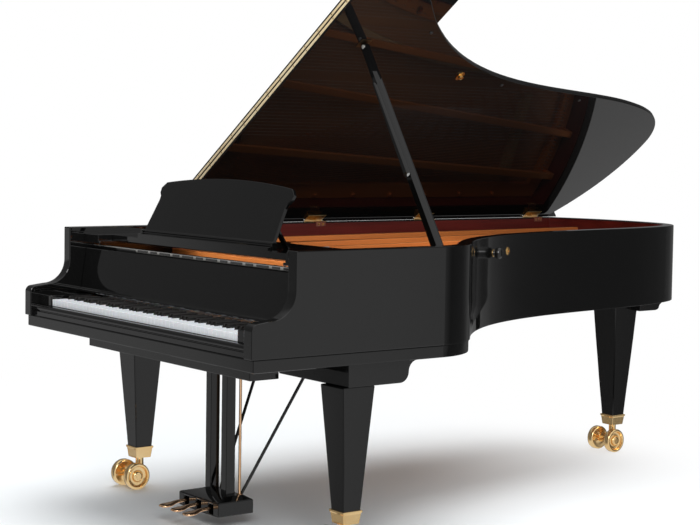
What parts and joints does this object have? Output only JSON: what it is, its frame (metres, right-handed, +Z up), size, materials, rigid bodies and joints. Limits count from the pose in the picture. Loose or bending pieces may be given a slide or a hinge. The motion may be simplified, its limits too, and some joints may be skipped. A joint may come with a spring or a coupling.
{
  "type": "grand piano",
  "caption": "Concert grand piano: propped lid with folded front flap, music desk, keyboard with fallboard, strings over a cast plate, pedal lyre and legs on twin-wheel casters.",
  "frame": {"origin": "on the floor, on the case's centre line, half way along the case", "axes": "+Z up, +Y from the player towards the tail, +X from the bass side towards the treble side"},
  "size_m": [1.5252, 2.762, 1.8769],
  "materials": {
    "black_polish": "black polished lacquer on wood",
    "veneer": "polished red-brown veneer",
    "beech": "plain hardwood",
    "spruce": "varnished spruce",
    "plate_paint": "bronze-coloured paint on cast iron",
    "steel_wire": "drawn steel",
    "copper_wound": "copper winding on steel",
    "brass": "polished brass",
    "white_key": "smooth white covering",
    "black_key": "satin black",
    "damper_wood": "black stained wood with felt"
  },
  "bodies": {
    "case": {"rim": "black_polish", "keybed": "black_polish", "key_slip": "black_polish", "key_blocks": "black_polish", "rim_lining": "veneer", "inner_rim": "beech", "back_posts": "beech", "soundboard": "spruce", "plate": "plate_paint", "pin_block": "beech", "tuning_pins": "steel_wire", "agraffes": "brass", "treble_strings": "steel_wire", "bass_strings": "copper_wound", "hitch_pins": "steel_wire", "bridges": "beech", "shelf_wings": "black_polish", "lid_hinge_rim_leaves": "brass", "prop_bracket": "brass", "lock_rosette": "brass", "leg_blocks": "black_polish", "front_legs": "black_polish", "rear_leg": "black_polish", "leg_ferrules": "brass", "lyre_beam": "black_polish", "lyre_posts": "black_polish", "pedal_box": "black_polish", "lyre_braces": "brass"},
    "key_frame": {"key_frame": "beech"},
    "white_keys": {"white_keys": "white_key"},
    "black_keys": {"black_keys": "black_key"},
    "middle_white_key": {"middle_white_key": "white_key"},
    "middle_black_key": {"middle_black_key": "black_key"},
    "fallboard": {"fallboard": "black_polish"},
    "damper_rail": {"damper_tray": "beech", "dampers": "damper_wood"},
    "music_shelf": {"music_shelf": "black_polish"},
    "music_desk": {"music_desk": "black_polish"},
    "desk_props": {"desk_props": "black_polish"},
    "lid": {"main_lid": "black_polish", "fold_hinge_lid_leaf": "brass", "lid_hinge_lid_leaves": "brass", "prop_plate": "brass"},
    "front_flap": {"front_flap": "black_polish", "fold_hinge_flap_leaf": "brass"},
    "lid_prop": {"lid_prop": "black_polish"},
    "short_prop": {"short_prop": "black_polish"},
    "lock_knob": {"lock_knob": "black_polish"},
    "caster_fork_front_left": {"caster_fork_front_left": "brass"},
    "caster_wheels_front_left": {"caster_wheels_front_left": "brass"},
    "caster_fork_front_right": {"caster_fork_front_right": "brass"},
    "caster_wheels_front_right": {"caster_wheels_front_right": "brass"},
    "caster_fork_rear": {"caster_fork_rear": "brass"},
    "caster_wheels_rear": {"caster_wheels_rear": "brass"},
    "pedal_left": {"pedal_left": "brass"},
    "pedal_rod_left": {"pedal_rod_left": "brass"},
    "pedal_middle": {"pedal_middle": "brass"},
    "pedal_rod_middle": {"pedal_rod_middle": "brass"},
    "pedal_right": {"pedal_right": "brass"},
    "pedal_rod_right": {"pedal_rod_right": "brass"}
  },
  "joints": [
    {"name": "keyboard_shift", "type": "slide", "parent": "case", "child": "key_frame", "axis": [1, 0, 0], "range_m": [0, 0.0025]},
    {"name": "white_keys_press", "type": "hinge", "parent": "key_frame", "child": "white_keys", "pos_m": [0, -1.104, 0.711], "axis": [1, 0, 0], "range_deg": [0, 2.5], "stiffness_Nm_per_rad": 30, "springref_deg": -5.73},
    {"name": "black_keys_press", "type": "hinge", "parent": "key_frame", "child": "black_keys", "pos_m": [0, -1.104, 0.711], "axis": [1, 0, 0], "range_deg": [0, 2.5], "stiffness_Nm_per_rad": 15, "springref_deg": -5.73},
    {"name": "middle_white_key_press", "type": "hinge", "parent": "key_frame", "child": "middle_white_key", "pos_m": [0, -1.104, 0.711], "axis": [1, 0, 0], "range_deg": [0, 2.5], "stiffness_Nm_per_rad": 0.8, "springref_deg": -5.73},
    {"name": "middle_black_key_press", "type": "hinge", "parent": "key_frame", "child": "middle_black_key", "pos_m": [0, -1.104, 0.711], "axis": [1, 0, 0], "range_deg": [0, 2.5], "stiffness_Nm_per_rad": 0.5, "springref_deg": -5.73},
    {"name": "fallboard_hinge", "type": "hinge", "parent": "case", "child": "fallboard", "pos_m": [0, -1.171, 0.757], "axis": [1, 0, 0], "range_deg": [0, 98]},
    {"name": "damper_lift", "type": "slide", "parent": "case", "child": "damper_rail", "axis": [0, 0, 1], "range_m": [0, 0.008]},
    {"name": "shelf_slide", "type": "slide", "parent": "case", "child": "music_shelf", "axis": [0, -1, 0], "range_m": [0, 0.06]},
    {"name": "desk_fold", "type": "hinge", "parent": "music_shelf", "child": "music_desk", "pos_m": [0, -1.071, 0.99], "axis": [-1, 0, 0], "range_deg": [0, 64]},
    {"name": "desk_prop_fold", "type": "hinge", "parent": "music_desk", "child": "desk_props", "pos_m": [0, -1.02173, 1.05498], "axis": [1, 0, 0], "range_deg": [0, 120]},
    {"name": "lid_hinge", "type": "hinge", "parent": "case", "child": "lid", "pos_m": [-0.755, 0, 0.9925], "axis": [0, -1, 0], "range_deg": [0, 40]},
    {"name": "flap_hinge", "type": "hinge", "parent": "lid", "child": "front_flap", "pos_m": [-0.14194, -0.7738, 1.43376], "axis": [0.829, 0, 0.5592], "range_deg": [0, 180]},
    {"name": "prop_fold", "type": "hinge", "parent": "case", "child": "lid_prop", "pos_m": [0.65802, -0.579, 0.964], "axis": [0, -1, 0], "range_deg": [0, 45]},
    {"name": "short_prop_swing", "type": "hinge", "parent": "lid_prop", "child": "short_prop", "pos_m": [0.50468, -0.579, 1.21719], "axis": [0, 1, 0], "range_deg": [0, 90]},
    {"name": "lock_turn", "type": "hinge", "parent": "case", "child": "lock_knob", "pos_m": [0.37652, -0.08455, 0.93], "axis": [0.8833, 0.4689, 0], "range_deg": [-90, 90]},
    {"name": "caster_swivel_front_left", "type": "hinge", "parent": "case", "child": "caster_fork_front_left", "pos_m": [-0.652, -0.944, 0.05], "axis": [0, 0, 1], "continuous": true},
    {"name": "caster_roll_front_left", "type": "hinge", "parent": "caster_fork_front_left", "child": "caster_wheels_front_left", "pos_m": [-0.652, -0.984, 0.05], "axis": [1, 0, 0], "continuous": true},
    {"name": "caster_swivel_front_right", "type": "hinge", "parent": "case", "child": "caster_fork_front_right", "pos_m": [0.652, -0.944, 0.05], "axis": [0, 0, 1], "continuous": true},
    {"name": "caster_roll_front_right", "type": "hinge", "parent": "caster_fork_front_right", "child": "caster_wheels_front_right", "pos_m": [0.652, -0.984, 0.05], "axis": [1, 0, 0], "continuous": true},
    {"name": "caster_swivel_rear", "type": "hinge", "parent": "case", "child": "caster_fork_rear", "pos_m": [-0.193, 1.153, 0.05], "axis": [0, 0, 1], "continuous": true},
    {"name": "caster_roll_rear", "type": "hinge", "parent": "caster_fork_rear", "child": "caster_wheels_rear", "pos_m": [-0.193, 1.113, 0.05], "axis": [1, 0, 0], "continuous": true},
    {"name": "pedal_press_left", "type": "hinge", "parent": "case", "child": "pedal_left", "pos_m": [-0.078, -1.003, 0.061], "axis": [1, 0, 0], "range_deg": [0, 4], "stiffness_Nm_per_rad": 15, "springref_deg": -5.73},
    {"name": "pedal_rod_lift_left", "type": "slide", "parent": "case", "child": "pedal_rod_left", "axis": [0, 0, 1], "range_m": [0, 0.0028]},
    {"name": "pedal_press_middle", "type": "hinge", "parent": "case", "child": "pedal_middle", "pos_m": [0, -1.003, 0.061], "axis": [1, 0, 0], "range_deg": [0, 4], "stiffness_Nm_per_rad": 15, "springref_deg": -5.73},
    {"name": "pedal_rod_lift_middle", "type": "slide", "parent": "case", "child": "pedal_rod_middle", "axis": [0, 0, 1], "range_m": [0, 0.0028]},
    {"name": "pedal_press_right", "type": "hinge", "parent": "case", "child": "pedal_right", "pos_m": [0.078, -1.003, 0.061], "axis": [1, 0, 0], "range_deg": [0, 4], "stiffness_Nm_per_rad": 15, "springref_deg": -5.73},
    {"name": "pedal_rod_lift_right", "type": "slide", "parent": "case", "child": "pedal_rod_right", "axis": [0, 0, 1], "range_m": [0, 0.0028]}
  ],
  "couplings": [
    {"joint": "desk_prop_fold", "follows": "desk_fold", "ratio": 1.875},
    {"joint": "pedal_rod_lift_left", "follows": "pedal_press_left", "m_per_rad": 0.039},
    {"joint": "pedal_rod_lift_middle", "follows": "pedal_press_middle", "m_per_rad": 0.039},
    {"joint": "pedal_rod_lift_right", "follows": "pedal_press_right", "m_per_rad": 0.039},
    {"joint": "damper_lift", "follows": "pedal_press_right", "m_per_rad": 0.1145},
    {"joint": "keyboard_shift", "follows": "pedal_press_left", "m_per_rad": 0.0358}
  ]
}
